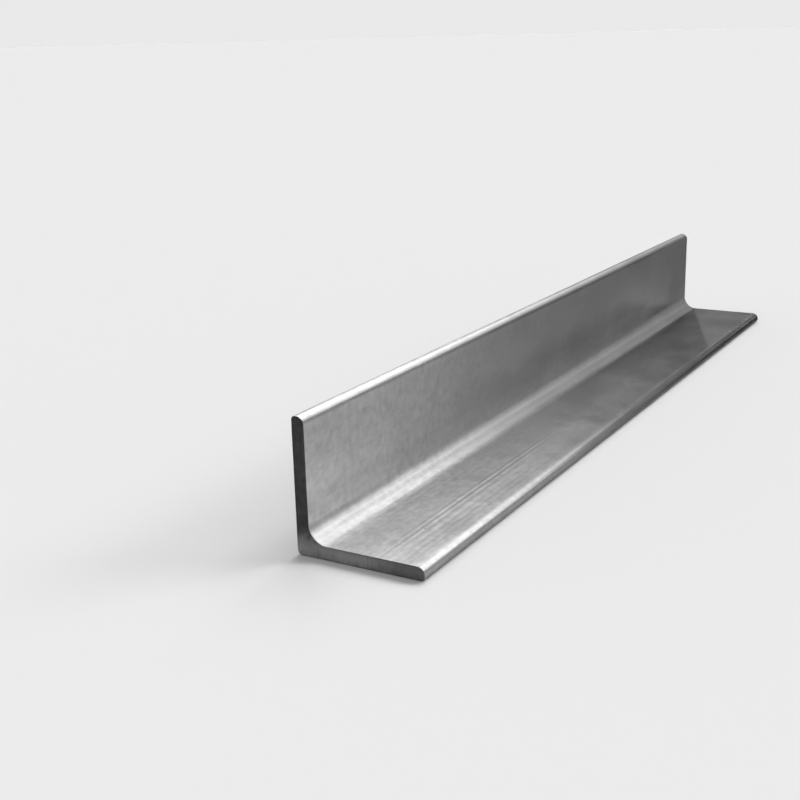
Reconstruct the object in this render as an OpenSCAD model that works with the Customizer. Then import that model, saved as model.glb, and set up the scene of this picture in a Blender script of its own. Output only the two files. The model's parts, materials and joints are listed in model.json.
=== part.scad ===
// Equal-leg angle section: one length of hot-rolled bar, sawn square at both ends.
// One leg lies flat with its outer face on the ground, and the other stands up along its back edge.
// Millimetres. The length runs along X, the flat leg reaches towards -Y and the upright leg towards +Z.
// The origin is under the middle of the piece, on the face that it lies on.

/* [Overall] */
// Length of the piece between its sawn ends
length = 410; // [100:5:3000]
// Width of the leg that lies flat, from the heel to its toe
flat_leg_w = 50; // [30:1:100]
// Height of the leg that stands up, from the heel to its toe
upright_leg_h = 50; // [30:1:100]

/* [Rolled section] */
// Thickness of both legs
leg_t = 5; // [3:0.5:10]
// Radius of the root, the hollow where the legs meet inside
root_r = 7; // [4:0.5:12]
// Radius of each toe on its inner side
toe_r = 3; // [1:0.5:5]
// Radius of each toe on its outer side
toe_back_r = 1.5; // [0.5:0.1:2]
// Radius of the heel, the outer corner where the legs meet
heel_r = 2; // [0.5:0.1:3]

/* [Sawn ends] */
// Bevel that deburring leaves round each end face
deburr = 0.4; // [0.1:0.05:0.4]

/* [Hidden] */
$fn = 96;

// How far a cutter stands out of the metal that it trims
margin = 0.05;
// Least flat that the two roundings of a toe leave between them on the end of the leg
toe_flat = 0.1;
toe_inner = min(toe_r, leg_t - toe_back_r - toe_flat);
right_angle = 90;

// Corners of the section, anticlockwise from the heel: [across, up, rounding radius]
CORNERS = [
    [0, 0, heel_r],
    [flat_leg_w, 0, toe_back_r],
    [flat_leg_w, leg_t, toe_inner],
    [leg_t, leg_t, root_r],
    [leg_t, upright_leg_h, toe_inner],
    [0, upright_leg_h, toe_back_r],
];
LAST = len(CORNERS) - 1;

function place(i) = [CORNERS[i][0], CORNERS[i][1]];
function radius(i) = CORNERS[i][2];
function after(i) = i == LAST ? 0 : i + 1;
function before(i) = i == 0 ? LAST : i - 1;
function heading(i) = let (side = place(after(i)) - place(i)) atan2(side.y, side.x);
function side_length(i) = norm(place(after(i)) - place(i));

// Does the outline turn outwards at this corner, as it does everywhere but at the root?
function convex(i) = sin(heading(i) - heading(before(i))) > 0;

// Direction of the first edge of the quadrant that a corner's two sides enclose
function quadrant(i) = convex(i) ? heading(i) : heading(before(i)) + 2 * right_angle;

// What lies between a square corner and the arc that rounds it
module corner_scrap(r) {
    difference() {
        translate([-margin, -margin]) square(r + margin);
        translate([r, r]) circle(r);
    }
}

module scrap_at(i) {
    translate(place(i)) rotate(quadrant(i)) corner_scrap(radius(i));
}

// Section across the bar, with its heel at the origin
module rolled_section() {
    difference() {
        union() {
            polygon([for (i = [0:LAST]) place(i)]);
            for (i = [0:LAST]) if (!convex(i)) scrap_at(i);
        }
        for (i = [0:LAST]) if (convex(i)) scrap_at(i);
    }
}

// Section of the deburring cut, at a side of the bar whose outward direction is +X or, as -1, -X
module deburr_section(outwards = 1) {
    reach = deburr + margin;
    polygon([[-reach * outwards, -margin], [margin * outwards, reach], [margin * outwards, -margin]]);
}

// The deburring cut along the straight side that follows a corner
module side_cut(i) {
    start = radius(i);
    run = side_length(i) - start - radius(after(i));
    translate(place(i)) rotate(heading(i)) translate([start + run, 0, 0])
        rotate([right_angle, 0, -right_angle]) linear_extrude(run) deburr_section();
}

// The deburring cut round a corner's arc, inside the arc's circle at the root and outside it elsewhere
module arc_cut(i) {
    r = radius(i);
    translate(place(i)) rotate(quadrant(i)) translate([r, r, 0])
        rotate([0, 0, 2 * right_angle]) rotate_extrude(angle = right_angle)
            translate([r, 0]) deburr_section(convex(i) ? 1 : -1);
}

module end_deburr() {
    for (i = [0:LAST]) {
        side_cut(i);
        arc_cut(i);
    }
}

module angle_bar() {
    color([0.62, 0.63, 0.64])
        translate([length / 2, flat_leg_w / 2, 0])
            rotate([right_angle, 0, -right_angle])
                difference() {
                    linear_extrude(length) rolled_section();
                    end_deburr();
                    translate([0, 0, length]) mirror([0, 0, 1]) end_deburr();
                }
}

angle_bar();
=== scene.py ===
"""The looks of one length of hot-rolled angle section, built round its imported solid.

The bar is one closed mesh: the rolled section swept along its length, with roll marks cut into its faces
and a soft bevel round its sawn ends. The camera and the studio stand as for a product picture.
"""

import json
import logging
import math
from dataclasses import dataclass
from enum import Enum

import bpy
import numpy as np
from mathutils import Matrix, Vector


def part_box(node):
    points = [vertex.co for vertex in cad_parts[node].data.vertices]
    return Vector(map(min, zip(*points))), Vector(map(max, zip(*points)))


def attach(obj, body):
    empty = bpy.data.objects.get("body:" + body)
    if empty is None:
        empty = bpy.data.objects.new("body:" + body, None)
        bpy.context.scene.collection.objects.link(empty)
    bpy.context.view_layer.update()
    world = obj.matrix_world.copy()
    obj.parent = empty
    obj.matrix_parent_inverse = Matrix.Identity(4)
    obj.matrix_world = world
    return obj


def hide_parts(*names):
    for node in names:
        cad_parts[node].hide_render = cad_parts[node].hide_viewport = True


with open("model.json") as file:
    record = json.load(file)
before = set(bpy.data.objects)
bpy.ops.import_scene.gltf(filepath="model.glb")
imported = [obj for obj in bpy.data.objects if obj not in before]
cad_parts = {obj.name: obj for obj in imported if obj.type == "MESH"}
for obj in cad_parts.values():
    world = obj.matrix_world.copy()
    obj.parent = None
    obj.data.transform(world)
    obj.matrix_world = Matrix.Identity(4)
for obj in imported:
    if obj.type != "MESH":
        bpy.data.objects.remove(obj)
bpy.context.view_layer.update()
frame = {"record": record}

LOG = logging.getLogger("angle_section")
MM = 0.001
RIGHT_ANGLE = math.pi / 2
FULL_TURN = 2 * math.pi
MEAN_NOISE = 0.5
BODY = "root"
CAD_NODE = "angle_bar"
SEAT_MOUNT = "flat_leg_seat"
STEEL_SLOT = "mill_finish_steel"

Array = np.ndarray
Colour = tuple[float, float, float, float]


def grey(level: float) -> Colour:
    """A neutral colour of one level."""
    return (level, level, level, 1.0)


def collect(thing: bpy.types.Object) -> bpy.types.Object:
    """Puts a new object into the scene."""
    bpy.context.scene.collection.objects.link(thing)
    return thing


def smooth_step(share: Array) -> Array:
    """Goes smoothly from 0 at 0 to 1 at 1, and stays level outside."""
    held = np.clip(share, 0, 1)
    return held * held * (3 - 2 * held)


class Graph:
    """The node tree of one material, world or lamp."""

    def __init__(self, tree: bpy.types.NodeTree) -> None:
        """Takes over a node tree and empties it."""
        self.tree = tree
        self.tree.nodes.clear()

    def node(self, kind: str, settings: dict | None = None, sockets: dict | None = None) -> bpy.types.Node:
        """Adds a node, with its settings made before its sockets are filled.

        Args:
            kind: The node's type, such as ShaderNodeTexNoise.
            settings: Properties of the node, where "stops" holds a colour ramp's positions and grey levels.
            sockets: For each input, by name or number, a value, a wrapped value or a socket to link.

        Returns:
            The new node.
        """
        node = self.tree.nodes.new(kind)
        for name, setting in (settings or {}).items():
            if name == "stops":
                self._set_stops(node.color_ramp, setting)
            else:
                setattr(node, name, setting)
        for name, source in (sockets or {}).items():
            source = source.socket if isinstance(source, Value) else source
            if isinstance(source, bpy.types.NodeSocket):
                self.tree.links.new(source, node.inputs[name])
            else:
                node.inputs[name].default_value = source
        return node

    def value(self, kind: str, settings: dict | None = None, sockets: dict | None = None,
              output: str | int = 0) -> "Value":
        """Adds a node, as the method node does, and wraps the output of that name or number."""
        return Value(self, self.node(kind, settings, sockets).outputs[output])

    @staticmethod
    def _set_stops(ramp: bpy.types.ColorRamp, stops: list[tuple[float, float]]) -> None:
        """Gives a new colour ramp its stops.

        Args:
            ramp: The ramp, which has two stops of its own.
            stops: The position and grey level of each stop.
        """
        for _ in stops[2:]:
            ramp.elements.new(1.0)
        for element, (position, level) in zip(ramp.elements, stops, strict=True):
            element.position = position
            element.color = grey(level)


class Value:
    """A shader number that varies, wrapped so that an expression adds its Math nodes."""

    def __init__(self, graph: Graph, socket: bpy.types.NodeSocket) -> None:
        """Wraps an output socket."""
        self.graph = graph
        self.socket = socket

    def _math(self, operation: str, left: "Value | float", right: "Value | float") -> "Value":
        """Adds one Math node."""
        return self.graph.value("ShaderNodeMath", {"operation": operation}, {0: left, 1: right})

    def __add__(self, other: "Value | float") -> "Value":
        """Adds."""
        return self._math("ADD", self, other)

    def __radd__(self, other: float) -> "Value":
        """Adds to a number."""
        return self._math("ADD", other, self)

    def __sub__(self, other: "Value | float") -> "Value":
        """Subtracts."""
        return self._math("SUBTRACT", self, other)

    def __rsub__(self, other: float) -> "Value":
        """Subtracts from a number, as in 1 - mask."""
        return self._math("SUBTRACT", other, self)

    def __mul__(self, other: "Value | float") -> "Value":
        """Multiplies."""
        return self._math("MULTIPLY", self, other)

    def __rmul__(self, other: float) -> "Value":
        """Multiplies a number."""
        return self._math("MULTIPLY", other, self)

    def at_least(self, low: float) -> "Value":
        """Keeps it from falling below a level."""
        return self._math("MAXIMUM", self, low)

    def rise(self, low: float, high: float) -> "Value":
        """Goes smoothly from 0 at low to 1 at high."""
        return self.graph.value(
            "ShaderNodeMapRange",
            {"interpolation_type": "SMOOTHSTEP"},
            {"Value": self, "From Min": low, "From Max": high},
        )

    def band(self, low: float, high: float, edge: float) -> "Value":
        """Is 1 between two levels and 0 outside them, with an edge so wide on either side of each."""
        return self.rise(low - edge, low + edge) * (1 - self.rise(high - edge, high + edge))


@dataclass(frozen=True)
class Section:
    """The rolled section, in metres: across from the heel along the flat leg, and up the upright leg."""

    leg_w: float
    leg_h: float
    thickness: float
    root_r: float = 7 * MM
    toe_inner_r: float = 3 * MM
    toe_outer_r: float = 1.5 * MM
    heel_r: float = 2 * MM
    toe_steps: int = 10
    root_steps: int = 12

    @property
    def root_end(self) -> float:
        """Where the root's arc runs into the straight of each leg, from the heel."""
        return self.thickness + self.root_r

    @staticmethod
    def _arc(centre: tuple[float, float], radius: float, start: float, end: float, steps: int,
             hollow: bool = False) -> Array:
        """Points and outward directions round an arc.

        Args:
            centre: Place of the arc's centre.
            radius: Radius of the arc.
            start: Angle of its first point, in right angles.
            end: Angle of its last point, in right angles.
            steps: How many stretches it is cut into.
            hollow: Whether the metal lies outside the arc.

        Returns:
            One row for each point: its place, then its outward direction.
        """
        turn = np.linspace(start, end, steps + 1) * RIGHT_ANGLE
        spoke = np.stack([np.cos(turn), np.sin(turn)], axis=1)
        return np.hstack([np.array(centre) + radius * spoke, -spoke if hollow else spoke])

    @staticmethod
    def _straight(along: Array, level: float, outward: int) -> Array:
        """Points and outward directions on a face of the leg.

        Args:
            along: Distances from the heel.
            level: How far the face lies from the leg's outer face.
            outward: 1 for the inner face and -1 for the outer one.

        Returns:
            Rows as from _arc.
        """
        rows = np.zeros((len(along), 4))
        rows[:, 0], rows[:, 1], rows[:, 3] = along, level, outward
        return rows

    def half(self, reach: float, columns: Array) -> tuple[Array, Array]:
        """One leg's outline from the middle of its toe to the middle of the root, inside and outside.

        Args:
            reach: The leg's width from the heel to its toe.
            columns: Distances from the heel, falling, at which its straight is cut, with both of its ends.

        Returns:
            The inner and the outer outline, each point across from its like. A row holds the distance along
            the leg and through it, and the same two of the outward direction.
        """
        inner_centre = (reach - self.toe_inner_r, self.thickness - self.toe_inner_r)
        outer_centre = (reach - self.toe_outer_r, self.toe_outer_r)
        toe_face = np.array([[reach, (inner_centre[1] + outer_centre[1]) / 2, 1.0, 0.0]])
        past_arc = 2
        inner_toe = self._arc(inner_centre, self.toe_inner_r, 0, 1, self.toe_steps)
        outer_toe = self._arc(outer_centre, self.toe_outer_r, 0, -1, self.toe_steps - past_arc)
        under_toe = np.linspace(outer_centre[0], inner_centre[0], past_arc + 1)[1:-1]

        heel_steps = self.root_steps // 2
        root = self._arc((self.root_end, self.root_end), self.root_r, 3, 2.5, self.root_steps, hollow=True)
        heel = self._arc((self.heel_r, self.heel_r), self.heel_r, 3, 2.5, heel_steps)
        under_root = np.linspace(self.root_end, self.heel_r, self.root_steps - heel_steps + 1)[1:-1]

        inner = [toe_face, inner_toe[:-1], self._straight(columns, self.thickness, 1), root[1:]]
        outer = [toe_face, outer_toe, self._straight(under_toe, 0, -1), self._straight(columns, 0, -1),
                 self._straight(under_root, 0, -1), heel]
        return np.vstack(inner), np.vstack(outer)


@dataclass(frozen=True)
class RollMark:
    """A shallow groove that the rolls left along a face.

    Its place is a distance from the heel. Its start and end are distances from the near end, and it fades
    towards both. Its rub is how much lighter it is than the face, or darker below 0.
    """

    place: float
    start: float
    end: float
    depth: float
    half_width: float
    rub: float = 0.0
    fade: float = 45 * MM

    COLUMNS = (-1.0, -0.5, 0.0, 0.5, 1.0)

    def columns(self) -> list[float]:
        """Distances from the heel at which the groove needs points."""
        return [self.place + share * self.half_width for share in self.COLUMNS]

    def share(self, along_leg: Array, along_bar: Array) -> Array:
        """How much of the groove's depth it has at each place, from 0 to 1.

        Args:
            along_leg: Distances from the heel, in a column.
            along_bar: Distances from the near end, in a row.

        Returns:
            Shares, one row for each distance from the heel.
        """
        across = smooth_step(1 - np.abs(along_leg - self.place) / self.half_width)
        rise = smooth_step((along_bar - self.start) / self.fade)
        fall = smooth_step((self.end - along_bar) / self.fade)
        return across * rise * fall


Stops = tuple[tuple[float, float, float, float, float], ...]


@dataclass(frozen=True)
class Wear:
    """Painted highlights and shade on the inner side of a leg, changing along the bar: how much lighter than
    plain steel it is, or darker below 0.

    Each stop holds a place, the values by the near end, along the bar and by the far end, and how far from
    the near end the first is halfway to the second. That change takes the settling, a share of the same
    distance, on either side of it. The last value sets in over far_end. Places on the toe and the root are
    how far the surface leans from the face, in degrees. Those on the face run from the root's end, and they
    and all distances are in millimetres.
    """

    toe: Stops
    root: Stops
    face: Stops
    far_end: tuple[float, float]
    settling: float = 0.7

    def _part(self, stops: Stops, where: Array, along_bar: Array) -> Array:
        """Works out the painted highlights and shade from one set of stops.

        Args:
            stops: The set.
            where: Each point's place, as in its stops.
            along_bar: Distances of the stations from the near end, in millimetres.

        Returns:
            One row for each point.
        """
        places, *values = zip(*stops, strict=True)
        near, middle, far, halfway = (np.interp(where, places, value)[:, None] for value in values)
        settled = smooth_step(((along_bar / halfway - 1) / self.settling + 1) / 2)
        low, high = self.far_end
        ending = smooth_step((along_bar - low) / (high - low))
        return near + (middle - near) * settled + (far - middle) * ending

    def rub(self, outline: Array, root_end: float, along_bar: Array) -> Array:
        """Works out the painted highlights and shade over one side of a leg.

        Args:
            outline: The side's outline, as from Section.half.
            root_end: Where the root's arc runs into the face, from the heel.
            along_bar: Distances of the stations from the near end.

        Returns:
            One row for each point of the outline.
        """
        lean = np.degrees(np.arctan2(outline[:, 2], outline[:, 3]))
        past_root = (outline[:, 0] - root_end) / MM
        toe, root, face = (
            self._part(stops, where, along_bar / MM)
            for stops, where in ((self.toe, lean), (self.root, lean), (self.face, past_root))
        )
        return np.where(past_root[:, None] < 0, root, np.where(lean[:, None] > 0, toe, face))


class Face(Enum):
    """The four rolled faces of the bar."""

    FLAT_INNER = "flat leg, inner face"
    FLAT_OUTER = "flat leg, outer face"
    UPRIGHT_INNER = "upright leg, inner face"
    UPRIGHT_OUTER = "upright leg, outer face"


class Layer(Enum):
    """What the mesh holds at each of its points, for the finish to read."""

    SAWN = "sawn"
    # How much lighter each point is, or darker below 0: its roll marks with the painted highlights and
    # shade.
    RUB = "rub"
    CURVED = "curved"
    SEAT = "seat"


@dataclass(frozen=True)
class Rolling:
    """What the rolls and guides left, a bundle of strong grooves, many faint ones and a slight unevenness,
    and the painted highlights and shade on the inner side of each leg.

    Faint grooves keep clear of their neighbours by the room, and plain_share is how strongly they show on
    the upright leg's inner face. The waves are the depth of the unevenness on the faces and by the toes.
    """

    seed: int = 20
    faint_places: int = 18
    faint_tries: int = 4
    faint_depth: tuple[float, float] = (0.0005 * MM, 0.002 * MM)
    faint_rub: float = 0.06
    plain_share: float = 0.2
    faint_length: tuple[float, float] = (60 * MM, 320 * MM)
    faint_half_width: float = 0.3 * MM
    face_wave: float = 0.012 * MM
    toe_wave: float = 0.035 * MM
    wave_lengths: tuple[float, ...] = (170 * MM, 97 * MM, 61 * MM, 38 * MM, 23 * MM)
    wave_skew: float = 20 * MM
    room: float = 1.2 * MM

    BUNDLE = (
        RollMark(30.4 * MM, -8 * MM, 165 * MM, 0.004 * MM, 0.55 * MM, -0.14),
        RollMark(31.6 * MM, -20 * MM, 175 * MM, 0.001 * MM, 0.45 * MM, 0.24, 115 * MM),
        RollMark(32.7 * MM, -55 * MM, 175 * MM, 0.005 * MM, 0.45 * MM, -0.24, 115 * MM),
        RollMark(34.0 * MM, -20 * MM, 150 * MM, 0.001 * MM, 0.50 * MM, 0.14),
        RollMark(35.2 * MM, 0 * MM, 120 * MM, 0.004 * MM, 0.45 * MM, -0.14),
        RollMark(37.0 * MM, -30 * MM, 120 * MM, 0.001 * MM, 0.60 * MM, 0.10),
        RollMark(38.6 * MM, -10 * MM, 95 * MM, 0.003 * MM, 0.45 * MM, -0.08),
        RollMark(41.1 * MM, -30 * MM, 130 * MM, 0.003 * MM, 0.50 * MM, -0.10),
        RollMark(43.8 * MM, -20 * MM, 150 * MM, 0.003 * MM, 0.45 * MM, -0.09),
    )
    # Painted highlights and shade on the inner side of each leg, which the finish adds to the steel's tone.
    FLAT_WEAR = Wear(
        toe=((0, 0.0, -0.17, -0.19, 150), (10, -0.14, -0.28, -0.27, 120), (20, -0.09, -0.29, -0.29, 150),
             (30, 0.03, -0.295, -0.30, 150), (40, 0.10, -0.30, -0.29, 112), (50, -0.05, -0.295, -0.30, 85),
             (60, -0.22, -0.32, -0.325, 180), (70, -0.09, -0.34, -0.335, 250), (80, 0.0, -0.37, -0.365, 175),
             (90, -0.02, -0.07, -0.11, 115)),
        root=((0, 0.46, 0.05, -0.18, 155), (3, 0.49, 0.02, -0.19, 140), (9, 0.54, -0.10, -0.22, 122),
              (15, 0.32, -0.165, -0.24, 120), (21, 0.07, -0.18, -0.21, 118), (30, -0.02, -0.19, -0.20, 122),
              (45, -0.055, -0.20, -0.20, 122)),
        face=((0, 0.46, 0.05, -0.18, 155), (2, 0.17, -0.11, -0.20, 165), (4, 0.15, -0.07, -0.21, 190),
              (6, 0.12, -0.06, -0.22, 195), (9, 0.14, -0.10, -0.21, 210), (13, 0.10, -0.14, -0.17, 210),
              (20, 0.09, -0.15, -0.17, 180), (28, 0.04, -0.17, -0.18, 175), (33, 0.0, -0.17, -0.19, 175)),
        far_end=(350, 392),
    )
    UPRIGHT_WEAR = Wear(
        toe=((0, -0.01, -0.125, -0.10, 110), (8, -0.06, -0.19, -0.14, 110), (18, -0.18, -0.27, -0.22, 110),
             (28, -0.27, -0.285, -0.26, 90), (38, -0.13, -0.22, -0.25, 115), (48, 0.07, -0.12, -0.15, 195),
             (58, 0.10, -0.08, -0.09, 210), (70, 0.09, -0.065, -0.05, 205), (80, 0.13, -0.03, -0.01, 215),
             (88, 0.39, 0.07, 0.08, 215), (90, 0.53, 0.06, 0.10, 210)),
        root=((0, -0.065, 0.33, -0.06, 190), (3, -0.04, 0.285, -0.06, 190), (9, 0.10, -0.05, -0.06, 120),
              (15, 0.03, -0.11, -0.09, 115), (21, 0.02, -0.10, -0.12, 118), (27, 0.04, -0.15, -0.17, 122),
              (33, -0.09, -0.20, -0.20, 122), (45, -0.055, -0.20, -0.20, 122)),
        face=((0, -0.065, 0.33, -0.06, 190), (4, -0.065, 0.26, -0.06, 190), (7, -0.055, 0.17, -0.08, 180),
              (10, -0.015, 0.06, -0.09, 140), (14, 0.02, 0.0, -0.09, 140), (24, 0.01, -0.09, -0.10, 110),
              (32, -0.01, -0.125, -0.10, 105)),
        far_end=(322, 388),
    )

    def _spread(self, rng: np.random.Generator, low: float, high: float, taken: list[float]) -> list[float]:
        """Chooses places for faint grooves that keep clear of each other and of those taken.

        Args:
            rng: The source of random draws.
            low: Least distance from the heel.
            high: Greatest distance from the heel.
            taken: Places that are used already.

        Returns:
            The new places.
        """
        places: list[float] = []
        for place in rng.uniform(low, high, self.faint_places * self.faint_tries):
            clear = all(abs(place - other) > self.room for other in taken + places)
            if clear and len(places) < self.faint_places:
                places.append(float(place))
        return places

    def _faint(self, rng: np.random.Generator, places: list[float], length: float,
               share: float) -> list[RollMark]:
        """Draws faint grooves.

        Args:
            rng: The source of random draws.
            places: Their distances from the heel.
            length: The bar's length.
            share: How strongly they show.

        Returns:
            One groove for each place, with drawn depth, length and start.
        """
        marks = []
        for place in places:
            run = rng.uniform(*self.faint_length)
            start = rng.uniform(-run / 2, length - run / 2)
            depth = share * rng.uniform(*self.faint_depth)
            rub = share * rng.uniform(-self.faint_rub, self.faint_rub)
            marks.append(RollMark(place, start, start + run, depth, self.faint_half_width, rub))
        return marks

    def marks(self, section: Section, length: float) -> dict[Face, list[RollMark]]:
        """The grooves of every face. The two faces of a leg share their places, so one cut serves both.

        Args:
            section: The rolled section.
            length: The bar's length.

        Returns:
            For each face, its grooves.
        """
        rng = np.random.default_rng(self.seed)
        bundle = [mark.place for mark in self.BUNDLE]
        low, toe = section.root_end + self.room, section.toe_inner_r + self.room
        flat = self._spread(rng, low, section.leg_w - toe, bundle)
        upright = self._spread(rng, low, section.leg_h - toe, [])
        return {
            Face.FLAT_INNER: [*self.BUNDLE, *self._faint(rng, flat, length, 1.0)],
            Face.FLAT_OUTER: self._faint(rng, flat + bundle, length, 1.0),
            Face.UPRIGHT_INNER: self._faint(rng, upright, length, self.plain_share),
            Face.UPRIGHT_OUTER: self._faint(rng, upright, length, 1.0),
        }

    def waves(self, rng: np.random.Generator, across: Array, along: Array) -> Array:
        """Smooth unevenness over a face.

        Args:
            rng: The source of random draws.
            across: Distances across the face, in a column.
            along: Distances along the bar, in a row.

        Returns:
            Values from 0 to 1, one row for each distance across.
        """
        total = np.zeros(np.broadcast(across, along).shape)
        for length in self.wave_lengths:
            start = rng.uniform(0, FULL_TURN)
            skew = rng.uniform(-FULL_TURN / 2, FULL_TURN / 2)
            total += np.sin(FULL_TURN * along / length + skew * across / self.wave_skew + start)
        return (total / len(self.wave_lengths) + 1) / 2


@dataclass(frozen=True)
class Strip:
    """A stretch of the section's outline, with what the rolls left on it and its painted highlights and
    shade at each station along the bar.

    Each array has one row for each point. A row of outline holds the point's place and outward direction,
    one of cut says how deep the metal lies there, and one of the third how much lighter it is, or darker
    below 0, from its roll marks and its painted highlights and shade.
    """

    outline: Array
    cut: Array
    rub: Array

    @classmethod
    def joined(cls, parts: list["Strip"]) -> "Strip":
        """Puts stretches end to end."""
        columns = zip(*((part.outline, part.cut, part.rub) for part in parts), strict=True)
        return cls(*(np.vstack(column) for column in columns))

    def part(self, rows: slice) -> "Strip":
        """Takes some of the points, in the order that the slice gives."""
        return Strip(self.outline[rows], self.cut[rows], self.rub[rows])

    def swapped(self) -> "Strip":
        """Turns a stretch of the flat leg into one of the upright leg, from the root to the toe."""
        return Strip(self.outline[::-1][:, [1, 0, 3, 2]], self.cut[::-1], self.rub[::-1])


@dataclass
class RolledBar:
    """The whole bar: the section swept along its length, with its sawn ends deburred.

    The bevel's outline lies between a straight chamfer, at a power of 1, and a quarter circle, at 2. The
    lower the power sawn_fade, the further the sawn finish reaches over it. Stations are rings along the bar,
    with more of them by both ends. The rows of a cap are shares of the way from the inside of the section
    to its outside. The product of both parts of its outward direction says how curved a surface is, and
    full_curve is where it counts in full. It is level where the upward part is over level_from.
    """

    section: Section
    length: float
    rolling: Rolling = Rolling()
    bevel: float = 0.4 * MM
    bevel_steps: int = 4
    bevel_power: float = 1.35
    sawn_fade: float = 0.35
    stations: int = 96
    edge_stations: tuple[float, ...] = (0.25 * MM, 0.8 * MM, 2.0 * MM)
    column_pitch: float = 2.6 * MM
    column_room: float = 0.65 * MM
    cap_rows: tuple[float, ...] = (0.0, 0.03, 0.12, 0.3, 0.5, 0.7, 0.88, 0.97, 1.0)
    full_curve: float = 0.25
    level_from: float = 0.99

    NAME = "rolled_angle"
    TOE_COLUMNS = 2

    def _columns(self, reach: float, marks: list[RollMark]) -> Array:
        """Distances from the heel at which a leg's straight is cut, falling from the toe to the root.

        Args:
            reach: The leg's width.
            marks: The grooves on the leg, each of which has columns of its own.

        Returns:
            The distances, with both ends of the straight.
        """
        low, high = self.section.root_end, reach - self.section.toe_inner_r
        grooves = sorted({round(place, 6) for mark in marks for place in mark.columns()})
        plain = np.linspace(low, high, int((high - low) / self.column_pitch) + 1)
        clear = [p for p in plain[1:-1] if min(abs(p - g) for g in grooves) > self.column_room]
        return np.array(sorted({low, high, *grooves, *clear}, reverse=True))

    def _leg(self, outline: Array, marks: list[RollMark], wear: Array, along: Array,
             rng: np.random.Generator) -> Strip:
        """Works out what the rolls left on one side of one leg, with its painted highlights and shade.

        Args:
            outline: The side's outline from the toe to the root, as from Section.half.
            marks: The grooves on its face.
            wear: Its painted highlights and shade, as how much lighter its points are at each station.
            along: Distances of the stations from the near end.
            rng: The source of random draws.

        Returns:
            The side as a strip.
        """
        column, row = outline[:, :1], along[None, :]
        toe_start = outline[0, 0] - 2 * self.section.toe_inner_r
        by_toe = smooth_step((column - toe_start) / self.section.toe_inner_r)
        wave = self.rolling.face_wave + (self.rolling.toe_wave - self.rolling.face_wave) * by_toe
        cut = wave * self.rolling.waves(rng, column, row)
        rub = wear.copy()
        on_face = (np.abs(outline[:, 3:]) == 1) & (column >= self.section.root_end)
        for mark in marks:
            share = mark.share(column, row) * on_face
            cut += share * mark.depth
            rub += share * mark.rub
        return Strip(outline, cut, rub)

    def _side(self, flat: Strip, upright: Strip) -> Strip:
        """Joins the same side of both legs at the root's middle, where both get the same depth."""
        flat.cut[-1] = (flat.cut[-1] + upright.cut[-1]) / 2
        return Strip.joined([flat, upright.swapped().part(slice(1, None))])

    def _ring(self, along: Array) -> tuple[Strip, int]:
        """Works out the whole outline, once round the bar.

        Args:
            along: Distances of the stations from the near end.

        Returns:
            The outline from the flat leg's toe along the inside to the upright's toe and back along the
            outside, and how many of its points the inside has, with both toes.
        """
        marks = self.rolling.marks(self.section, self.length)
        rng = np.random.default_rng(self.rolling.seed)
        legs = []
        for reach, inner_face, outer_face, wear in (
            (self.section.leg_w, Face.FLAT_INNER, Face.FLAT_OUTER, self.rolling.FLAT_WEAR),
            (self.section.leg_h, Face.UPRIGHT_INNER, Face.UPRIGHT_OUTER, self.rolling.UPRIGHT_WEAR),
        ):
            inside, outside = self.section.half(reach, self._columns(reach, marks[inner_face]))
            # Painted highlights and shade over the inner side, carried past the toe onto the outer side.
            rub = wear.rub(inside, self.section.root_end, along)
            past_toe = smooth_step((outside[:, :1] - reach) / self.section.toe_inner_r + 1)
            legs.append((self._leg(inside, marks[inner_face], rub, along, rng),
                         self._leg(outside, marks[outer_face], rub[0] * past_toe, along, rng)))
        inner, outer = (self._side(flat, upright) for flat, upright in zip(*legs, strict=True))
        toes = [0, -1]
        inner.cut[toes] = (inner.cut[toes] + outer.cut[toes]) / 2
        return Strip.joined([inner, outer.part(slice(-2, 0, -1))]), len(inner.outline)

    def _sweep(self, ring: Strip, along: Array) -> tuple[Array, Array, Array]:
        """Sweeps the outline along the bar, and rounds it off over the bevel at both ends.

        Args:
            ring: The whole outline.
            along: Distances of the stations from the near end.

        Returns:
            The points of every ring, and for each point how much lighter it is from its roll marks and
            painted highlights and shade, and how much of a sawn face it is part of.
        """
        steps = self.bevel_steps
        turn = np.arange(1, steps + 1) / steps * RIGHT_ANGLE
        inset = self.bevel * (1 - np.cos(turn) ** (2 / self.bevel_power))
        reach = self.bevel * np.sin(turn) ** (2 / self.bevel_power)
        x = np.concatenate([(self.bevel - reach)[::-1], along, self.length - self.bevel + reach])
        cut = np.hstack([ring.cut[:, :1] + inset[::-1], ring.cut, ring.cut[:, -1:] + inset])
        rub = np.pad(ring.rub, ((0, 0), (steps, steps)), mode="edge")
        place = ring.outline[:, None, :2] - cut[..., None] * ring.outline[:, None, 2:]
        points = np.stack([
            np.broadcast_to(x[:, None] - self.length / 2, place.shape[1::-1]),
            self.section.leg_w / 2 - place[..., 0].T,
            place[..., 1].T,
        ], axis=-1)
        sawn = np.zeros(points.shape[:2])
        sawn[:steps] = (np.linspace(1, 0, steps, endpoint=False) ** self.sawn_fade)[:, None]
        sawn[-steps:] = sawn[:steps][::-1]
        return points, rub.T, sawn

    def _lie(self, ring: Strip, like: Array) -> tuple[Array, Array]:
        """Works out how curved the surface is, and which of it is the flat leg's inner face.

        Args:
            ring: The whole outline.
            like: An array with one row for each ring and one number for each point.

        Returns:
            Both shares, from 0 to 1, in the shape of that array.
        """
        _, height, outward, upward = ring.outline.T
        curved = smooth_step(np.abs(outward * upward) / self.full_curve)
        seat = (upward > self.level_from) & (height < 2 * self.section.thickness)
        return np.broadcast_to(curved, like.shape), np.broadcast_to(seat, like.shape)

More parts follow.
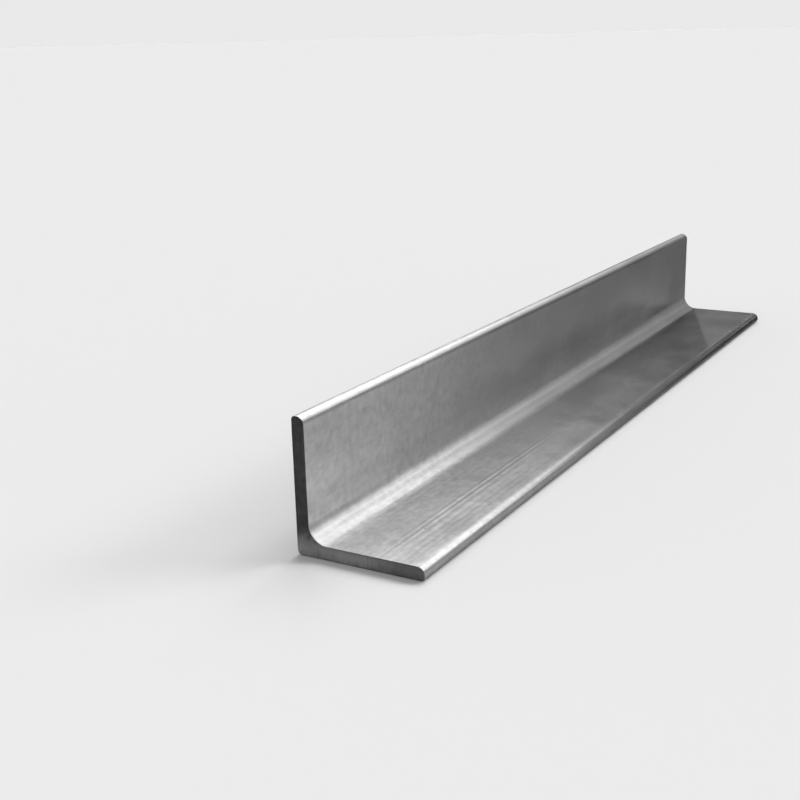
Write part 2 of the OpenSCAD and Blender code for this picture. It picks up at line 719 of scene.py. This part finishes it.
    def _cap(self, rim: Array, count: int, first: int, corner: int,
             facing: int) -> tuple[Array, list[list[int]]]:
        """Closes one end with rows of points between the inside and the outside of its outline.

        The outermost columns at each toe would lie on one straight, so the toe's middle stands for them.

        Args:
            rim: The points of the last ring.
            count: How many of them the inside of the outline has.
            first: Number of the rim's first point.
            corner: Number of the first new point.
            facing: 1 at the near end and -1 at the far end.

        Returns:
            The new points and the faces.
        """
        toe = self.TOE_COLUMNS
        back = np.concatenate([[0], np.arange(len(rim) - 1, count - 1, -1), [count - 1]])
        share = np.array(self.cap_rows[1:-1])[:, None, None]
        inside = rim[None, toe:count - toe] * (1 - share) + rim[back][None, toe:-toe] * share
        grid = np.empty((len(self.cap_rows), count), int)
        grid[0], grid[-1] = first + np.arange(count), first + back
        grid[1:-1, toe:-toe] = corner + np.arange(inside[..., 0].size).reshape(inside.shape[:2])
        grid[1:-1, :toe], grid[1:-1, -toe:] = first, first + count - 1
        cells = np.stack([grid[:-1, :-1], grid[:-1, 1:], grid[1:, 1:], grid[1:, :-1]], axis=-1)
        faces = [list(dict.fromkeys(cell[::facing])) for cell in cells.reshape(-1, 4).tolist()]
        return inside.reshape(-1, 3), [face for face in faces if len(face) > 2]

    def build(self) -> bpy.types.Object:
        """Builds the bar's mesh.

        Returns:
            The new object, in place in the row frame.
        """
        plain = np.linspace(self.bevel, self.length - self.bevel, self.stations)
        extra = self.bevel + np.array(self.edge_stations)
        along = np.sort(np.concatenate([plain, extra, self.length - extra]))
        ring, count = self._ring(along)
        swept, rub, sawn = self._sweep(ring, along)
        rings, size = swept.shape[:2]
        curved, seat = self._lie(ring, rub)
        number = np.arange(rings * size).reshape(rings, size)
        after = np.roll(number, -1, axis=1)
        faces = np.stack([number[:-1], number[1:], after[1:], after[:-1]], axis=-1).reshape(-1, 4).tolist()
        points = [swept.reshape(-1, 3)]
        for end, facing in ((0, 1), (rings - 1, -1)):
            corner = sum(len(part) for part in points)
            new_points, new_faces = self._cap(swept[end], count, int(number[end, 0]), corner, facing)
            points.append(new_points)
            faces += new_faces
        mesh = bpy.data.meshes.new(self.NAME)
        mesh.from_pydata(np.vstack(points).tolist(), [], faces)
        cap_points = len(mesh.vertices) - rings * size
        # The second layer holds the roll marks with the painted highlights and shade.
        for layer, values, on_cap in ((Layer.SAWN, sawn, 1.0), (Layer.RUB, rub, 0.0),
                                      (Layer.CURVED, curved, 0.0), (Layer.SEAT, seat, 0.0)):
            held = mesh.attributes.new(layer.value, "FLOAT", "POINT")
            everywhere = np.concatenate([values.ravel(), np.full(cap_points, on_cap)])
            held.data.foreach_set("value", everywhere.astype(np.float32))
        mesh.polygons.foreach_set("use_smooth", np.ones(len(mesh.polygons), bool))
        mesh.update()
        return collect(bpy.data.objects.new(self.NAME, mesh))

    def dress(self, bar: bpy.types.Object, finish: "MillSteel") -> None:
        """Gives the bar its finish and its place in the table of pieces.

        Args:
            bar: The bar's object.
            finish: Its finish.
        """
        bar.data.materials.append(finish.material())
        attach(bar, BODY)
        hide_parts(CAD_NODE)


@dataclass(frozen=True)
class Coat:
    """What a finish gives at each place: how light and rough it is, and its relief in millimetres."""

    tone: Value
    roughness: Value
    height: Value


def held_by_mesh(graph: Graph, layer: Layer) -> Value:
    """A number that the mesh holds at each of its points."""
    return graph.value("ShaderNodeAttribute", {"attribute_name": layer.value}, {}, "Fac")


def along_axis(graph: Graph, place: bpy.types.NodeSocket, axis: str) -> Value:
    """How far each place lies along one axis, in metres."""
    return graph.value("ShaderNodeSeparateXYZ", {}, {0: place}, axis)


@dataclass(frozen=True)
class Texture:
    """Noise in a finish, and how strongly it shows in each thing that the finish gives.

    Its scale is in waves to the metre. Places are multiplied by the stretch, so one below 1 draws the noise
    out, and are then turned about the bar's length. Its height is in millimetres.
    """

    scale: float
    detail: float
    stretch: tuple[float, float, float] = (1.0, 1.0, 1.0)
    turn: float = 0.0
    in_tone: float = 0.0
    in_rub: float = 0.0
    in_roughness: float = 0.0
    in_height: float = 0.0

    def noise(self, graph: Graph, place: bpy.types.NodeSocket) -> Value:
        """Adds its nodes.

        Args:
            graph: The material's graph.
            place: Places on the bar, in metres.

        Returns:
            Its noise, from about -0.3 to 0.3.
        """
        drawn_out = graph.node("ShaderNodeMapping", {"vector_type": "POINT"},
                               {"Vector": place, "Rotation": (self.turn, 0.0, 0.0), "Scale": self.stretch})
        waves = {"Vector": drawn_out.outputs[0], "Scale": self.scale, "Detail": self.detail}
        return graph.value("ShaderNodeTexNoise", {}, waves) - MEAN_NOISE


@dataclass(frozen=True)
class RolledFinish:
    """Rolled and pickled steel: soft mottling that calms down along the bar, broad clouds and streaks.

    The flat leg has a painted reflection, a lighter patch beyond a slanted line near the far end. The slant
    is how far that line runs along the bar for each step across it.
    """

    mottle: Texture = Texture(400, 2, (1.0, 1.0, 0.7), in_tone=0.45, in_roughness=0.05, in_height=0.003)
    crinkle: Texture = Texture(520, 1, (0.4, 1.0, 0.7), in_tone=0.35, in_rub=0.3, in_height=0.002)
    grain: Texture = Texture(1400, 1, in_tone=0.2)
    streaks: Texture = Texture(900, 2, (0.03, 1.0, 1.0), in_tone=0.15, in_rub=0.5, in_height=0.001)
    clouds: Texture = Texture(45, 2, in_tone=0.2, in_roughness=0.06)
    tone: float = 0.42
    least_tone: float = 0.05
    roughness: float = 0.30
    curved_extra: float = 0.13
    clean_rub: float = 0.10
    clean_slant: float = 2.52
    clean_from: tuple[float, float] = (166 * MM, 172 * MM)
    calmer_by: float = 0.55
    calmer_from: tuple[float, float] = (-160 * MM, -40 * MM)

    def coat(self, graph: Graph, place: bpy.types.NodeSocket) -> Coat:
        """Adds the finish's nodes.

        Args:
            graph: The material's graph.
            place: Places on the bar, in metres.

        Returns:
            The finish at each place.
        """
        mottle, crinkle, grain, streaks, clouds = (
            texture.noise(graph, place)
            for texture in (self.mottle, self.crinkle, self.grain, self.streaks, self.clouds)
        )
        along, across = along_axis(graph, place, "X"), along_axis(graph, place, "Y")
        # Painted reflection: a lighter patch on the flat leg's inner face beyond a slanted line near the far
        # end.
        past_slant = (along - self.clean_slant * across).rise(*self.clean_from)
        clean = held_by_mesh(graph, Layer.SEAT) * past_slant
        strength = 1 - self.calmer_by * along.rise(*self.calmer_from)

        # The mesh's lightness holds the roll marks and the painted highlights and shade, broken up by
        # streaks and crinkle.
        uneven = self.streaks.in_rub * streaks + self.crinkle.in_rub * crinkle
        rub = held_by_mesh(graph, Layer.RUB) * (1 + strength * uneven) + self.clean_rub * clean
        speckle = (self.mottle.in_tone * mottle + self.crinkle.in_tone * crinkle
                   + self.grain.in_tone * grain + self.streaks.in_tone * streaks)
        tone = (self.tone + rub).at_least(self.least_tone)
        tone = tone * (1 + strength * speckle + self.clouds.in_tone * clouds)

        roughness = (self.roughness + self.curved_extra * held_by_mesh(graph, Layer.CURVED)
                     + self.mottle.in_roughness * mottle + self.clouds.in_roughness * clouds)
        relief = (self.mottle.in_height * mottle + self.crinkle.in_height * crinkle
                  + self.streaks.in_height * streaks)
        return Coat(tone, roughness, strength * relief)


@dataclass(frozen=True)
class SawnFinish:
    """A sawn face with the saw's marks: darker than the rolled faces, partly its own finish and partly
    painted shade, and much darker from painted shade over the upright leg.

    The mottling shifts the edge of its painted shade up and down by the wander.
    """

    mottle: Texture = Texture(500, 3, in_tone=0.9, in_roughness=0.1, in_height=0.02)
    marks: Texture = Texture(1600, 3, (1.0, 1.0, 0.06), 0.6, in_tone=0.5, in_height=0.03)
    corner_tone: float = 0.29
    toe_tone: float = 0.15
    dark_tone: float = 0.055
    toe_from: tuple[float, float] = (5 * MM, -20 * MM)
    darker_from: tuple[float, float] = (1.5 * MM, 11 * MM)
    wander: float = 8 * MM
    roughness: float = 0.5

    def coat(self, graph: Graph, place: bpy.types.NodeSocket) -> Coat:
        """Adds the finish's nodes.

        Args:
            graph: The material's graph.
            place: Places on the bar, in metres.

        Returns:
            The finish at each place.
        """
        across, height = along_axis(graph, place, "Y"), along_axis(graph, place, "Z")
        mottle, marks = self.mottle.noise(graph, place), self.marks.noise(graph, place)
        # Painted shade: much darker from a little above the flat leg upwards, over the upright leg.
        upper = (height + self.wander * mottle).rise(*self.darker_from)
        lower = self.corner_tone - (self.corner_tone - self.toe_tone) * across.rise(*self.toe_from)
        speckle = self.mottle.in_tone * mottle + self.marks.in_tone * marks
        tone = (lower * (1 - upper) + self.dark_tone * upper) * (1 + speckle)
        roughness = self.roughness + self.mottle.in_roughness * mottle
        relief = self.marks.in_height * marks + self.mottle.in_height * mottle
        return Coat(tone, roughness, relief)


@dataclass(frozen=True)
class MillSteel:
    """The bar's one material: the rolled finish on its length and the sawn one on its ends."""

    rolled: RolledFinish = RolledFinish()
    sawn: SawnFinish = SawnFinish()
    sawn_from: tuple[float, float] = (0.2, 0.8)
    edge_tint: float = 0.15

    def material(self) -> bpy.types.Material:
        """Makes the material.

        Returns:
            The new material.
        """
        material = bpy.data.materials.new(STEEL_SLOT)
        material.use_nodes = True
        graph = Graph(material.node_tree)
        place = graph.node("ShaderNodeTexCoord").outputs["Object"]
        on_saw = held_by_mesh(graph, Layer.SAWN).rise(*self.sawn_from)
        rolled, sawn = self.rolled.coat(graph, place), self.sawn.coat(graph, place)

        def blend(outside: Value, cut: Value) -> Value:
            """Takes the rolled finish on the bar's length and the sawn one on its ends."""
            return outside * (1 - on_saw) + cut * on_saw

        tone, height = blend(rolled.tone, sawn.tone), blend(rolled.height, sawn.height)
        colour = graph.node("ShaderNodeMix", {"data_type": "RGBA"},
                            {"Factor": tone, "A": grey(0.0), "B": grey(1.0)})
        relief = graph.node("ShaderNodeBump", {}, {"Height": height, "Distance": MM})
        shader = graph.node("ShaderNodeBsdfPrincipled", {}, {
            "Base Color": colour.outputs["Result"],
            "Metallic": 1.0,
            "Specular Tint": grey(self.edge_tint),
            "Roughness": blend(rolled.roughness, sawn.roughness),
            "Normal": relief.outputs[0],
        })
        graph.node("ShaderNodeOutputMaterial", {}, {"Surface": shader.outputs[0]})
        return material


@dataclass(frozen=True)
class Viewpoint:
    """Where the picture is taken from, in the row frame.

    Angles are in radians, the focal length is in pixels and the sensor's width in millimetres.
    """

    place: tuple[float, float, float] = (-524.25 * MM, -206.08 * MM, 170.73 * MM)
    heading: float = 0.5335
    dip: float = 0.2883
    roll: float = -0.0269
    focal: float = 1236.4
    picture_width: int = 800
    sensor: float = 36.0
    clip: tuple[float, float] = (10 * MM, 100.0)

    def set_up(self) -> None:
        """Makes the camera and gives it to the scene."""
        data = bpy.data.cameras.new("camera")
        data.sensor_width = self.sensor
        data.lens = self.focal * self.sensor / self.picture_width
        data.clip_start, data.clip_end = self.clip
        camera = collect(bpy.data.objects.new("camera", data))
        forward = Vector((math.cos(self.heading) * math.cos(self.dip),
                          math.sin(self.heading) * math.cos(self.dip), -math.sin(self.dip)))
        level = Vector((math.sin(self.heading), -math.cos(self.heading), 0.0))
        rise = level.cross(forward)
        right = math.cos(self.roll) * level + math.sin(self.roll) * rise
        up = math.cos(self.roll) * rise - math.sin(self.roll) * level
        turn = Matrix((right, up, -forward)).transposed()
        camera.matrix_world = Matrix.Translation(self.place) @ turn.to_4x4()
        bpy.context.scene.camera = camera


@dataclass(frozen=True)
class Screen:
    """A large flat thing far off in the room, as the bar sees it.

    All its sizes are in degrees, the azimuth from +X round to +Y and the elevation from the floor.
    """

    azimuth: float
    elevation: float
    half_width: float
    half_height: float
    edge: float = 5.0

    def cover(self, azimuth: Value, elevation: Value) -> Value:
        """How much of it lies in each direction.

        Args:
            azimuth: Each direction's angle from +X round to +Y, in degrees.
            elevation: Its angle from the floor, in degrees.

        Returns:
            1 on the screen and 0 off it, with soft edges.
        """
        wide = azimuth.band(self.azimuth - self.half_width, self.azimuth + self.half_width, self.edge)
        low, high = self.elevation - self.half_height, self.elevation + self.half_height
        return wide * elevation.band(low, high, self.edge)


@dataclass(frozen=True)
class Floor:
    """The pale floor, a flat disc so wide that its edge is the horizon."""

    radius: float = 60.0
    colour: float = 0.86
    spokes: int = 96

    def lay(self) -> None:
        """Makes the floor, which touches the bar's lowest point."""
        spin = np.linspace(0, FULL_TURN, self.spokes, endpoint=False)
        points = [(self.radius * math.cos(a), self.radius * math.sin(a), 0.0) for a in spin]
        mesh = bpy.data.meshes.new("studio_floor")
        mesh.from_pydata(points, [], [tuple(range(self.spokes))])
        material = bpy.data.materials.new("matt_white_paper")
        material.use_nodes = True
        graph = Graph(material.node_tree)
        paper = graph.node("ShaderNodeBsdfDiffuse", {}, {"Color": grey(self.colour)})
        graph.node("ShaderNodeOutputMaterial", {}, {"Surface": paper.outputs[0]})
        mesh.materials.append(material)
        floor = collect(bpy.data.objects.new("studio_floor", mesh))


@dataclass(frozen=True)
class Studio:
    """The room: a pale floor, pale walls under a bright ceiling, and soft boxes over one dark screen.

    Each box has its radiance, and each stop of the walls is an elevation in degrees and the radiance there.
    """

    viewpoint: Viewpoint = Viewpoint()
    floor: Floor = Floor()
    boxes: tuple[tuple[Screen, float], ...] = (
        (Screen(-13.4, 49.2, 23.7, 10.1), 5.7),
        (Screen(20.3, 43.3, 17.8, 13.3), 4.15),
        (Screen(-43.1, 27.2, 14.9, 6.7), 8.6),
    )
    dark_screen: Screen = Screen(-26.5, 15.8, 48.5, 4.5, 1.5)
    walls: tuple[tuple[float, float], ...] = (
        (0.0, 0.82), (3.0, 0.82), (9.0, 0.6), (20.0, 0.5),
        (35.0, 0.45), (50.0, 0.5), (65.0, 0.0), (90.0, 1.0),
    )

    def set_up(self) -> None:
        """Makes the camera, the floor and the room's light."""
        scene = bpy.context.scene
        scene.view_settings.view_transform = "Standard"
        self.viewpoint.set_up()
        self.floor.lay()
        world = bpy.data.worlds.new("studio")
        world.use_nodes = True
        scene.world = world
        graph = Graph(world.node_tree)
        direction = graph.node("ShaderNodeTexCoord").outputs["Generated"]
        axes = graph.node("ShaderNodeSeparateXYZ", {}, {0: direction})
        azimuth = graph.value("ShaderNodeMath", {"operation": "ARCTAN2"},
                              {0: axes.outputs["Y"], 1: axes.outputs["X"]})
        elevation = graph.value("ShaderNodeMath", {"operation": "ARCSINE"}, {0: axes.outputs["Z"]})
        azimuth, elevation = azimuth * math.degrees(1), elevation * math.degrees(1)
        zenith = self.walls[-1][0]
        stops = [(height / zenith, level) for height, level in self.walls]
        walls = graph.value("ShaderNodeValToRGB", {"stops": stops}, {"Fac": elevation * (1 / zenith)})
        light = walls * (1 - self.dark_screen.cover(azimuth, elevation))
        for box, radiance in self.boxes:
            light = light + radiance * box.cover(azimuth, elevation)
        sky = graph.node("ShaderNodeBackground", {}, {"Color": light, "Strength": 1.0})
        graph.node("ShaderNodeOutputWorld", {}, {"Surface": sky.outputs[0]})


def seat_height() -> float:
    """Thickness of the legs, which is how high the record's seat on the flat leg lies."""
    mounts = {mount["name"]: mount for mount in frame["record"]["mounts"]}
    return mounts[SEAT_MOUNT]["pos_m"][2]


def main() -> None:
    """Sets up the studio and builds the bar."""
    Studio().set_up()
    low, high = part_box(CAD_NODE)
    section = Section(high.y - low.y, high.z - low.z, seat_height())
    bar = RolledBar(section, high.x - low.x)
    piece = bar.build()
    bar.dress(piece, MillSteel())
    LOG.info("%s: %d points, %d faces", piece.name, len(piece.data.vertices), len(piece.data.polygons))


if __name__ == "__main__":
    logging.basicConfig(level=logging.INFO)
    main()
